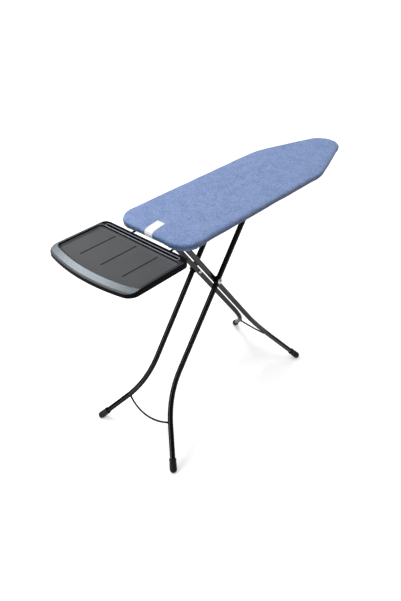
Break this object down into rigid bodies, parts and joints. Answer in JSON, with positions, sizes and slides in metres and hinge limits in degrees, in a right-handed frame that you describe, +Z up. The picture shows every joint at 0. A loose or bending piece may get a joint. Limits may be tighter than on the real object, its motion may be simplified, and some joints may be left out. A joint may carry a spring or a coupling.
{
  "type": "ironing board",
  "caption": "Folding ironing board with a padded fabric cover, crossed bent-tube legs with rubber feet, and a dished tray for a steam station at its square end.",
  "frame": {"origin": "on the floor, under the middle of the whole object's box at rest", "axes": "+X from the tray and square end towards the nose, +Y across the board, +Z up"},
  "size_m": [1.554, 0.4974, 1.0141],
  "materials": {
    "denim": "woven, matt",
    "foam": "felted",
    "label_cloth": "woven tape",
    "panel_steel": "grey powder coat",
    "zinc_steel": "zinc plated",
    "black_paint": "satin black powder coat",
    "tray_plastic": "fine moulded texture",
    "grip_rubber": "matt",
    "foot_rubber": "matt moulded",
    "nylon": "natural nylon"
  },
  "bodies": {
    "board": {"board_panel": "panel_steel", "foam_pad": "foam", "fabric_cover": "denim", "end_label": "label_cloth", "cross_rib_1": "panel_steel", "cross_rib_2": "panel_steel", "cross_rib_3": "panel_steel", "cross_rib_4": "panel_steel", "height_rack": "zinc_steel", "pivot_rod": "zinc_steel", "lever_bracket": "zinc_steel", "lever_pin": "zinc_steel", "lever_spring": "zinc_steel", "guide_rail_left": "panel_steel", "guide_rail_right": "panel_steel", "pivot_bracket_left": "panel_steel", "pivot_bracket_right": "panel_steel", "pivot_cap_left": "zinc_steel", "pivot_cap_right": "zinc_steel", "rod_socket_left": "tray_plastic", "rod_socket_right": "tray_plastic"},
    "inner_frame": {"inner_sleeve": "black_paint", "inner_bow": "black_paint", "inner_leg_left": "black_paint", "inner_leg_right": "black_paint", "inner_foot_left": "foot_rubber", "inner_foot_right": "foot_rubber", "scissor_bolt_left": "zinc_steel", "scissor_bolt_right": "zinc_steel", "scissor_washer_left": "tray_plastic", "scissor_washer_right": "tray_plastic", "scissor_cap_left": "nylon", "scissor_cap_right": "nylon", "scissor_nut_left": "zinc_steel", "scissor_nut_right": "zinc_steel"},
    "outer_frame": {"outer_crossbar": "black_paint", "outer_bow": "black_paint", "outer_leg_left": "black_paint", "outer_leg_right": "black_paint", "outer_foot_left": "foot_rubber", "outer_foot_right": "foot_rubber", "crossbar_glide_left": "nylon", "crossbar_glide_right": "nylon"},
    "tray": {"tray_shell": "tray_plastic", "grip_strip_1": "grip_rubber", "grip_strip_2": "grip_rubber", "grip_strip_3": "grip_rubber", "tray_rod_left": "black_paint", "tray_rod_right": "black_paint", "rod_clip_front_left": "tray_plastic", "rod_clip_front_right": "tray_plastic", "rod_clip_rear_left": "tray_plastic", "rod_clip_rear_right": "tray_plastic"},
    "lever": {"release_lever": "black_paint", "lever_grip": "tray_plastic"}
  },
  "joints": [
    {"name": "leg_fold", "type": "hinge", "parent": "board", "child": "inner_frame", "pos_m": [-0.35601, 0, 0.9575], "axis": [0, -1, 0], "range_deg": [0, 50]},
    {"name": "scissor_pivot", "type": "hinge", "parent": "inner_frame", "child": "outer_frame", "pos_m": [-0.1459, 0, 0.6725], "axis": [0, -1, 0], "range_deg": [-100, 0]},
    {"name": "lever_squeeze", "type": "hinge", "parent": "board", "child": "lever", "pos_m": [0.015, 0.075, 0.972], "axis": [1, 0, 0], "range_deg": [0, 7], "stiffness_Nm_per_rad": 2, "springref_deg": -20.05},
    {"name": "tray_slide", "type": "slide", "parent": "board", "child": "tray", "axis": [-1, 0, 0], "range_m": [0, 0.1]}
  ],
  "couplings": [
    {"joint": "scissor_pivot", "follows": "leg_fold", "ratio": -2}
  ]
}
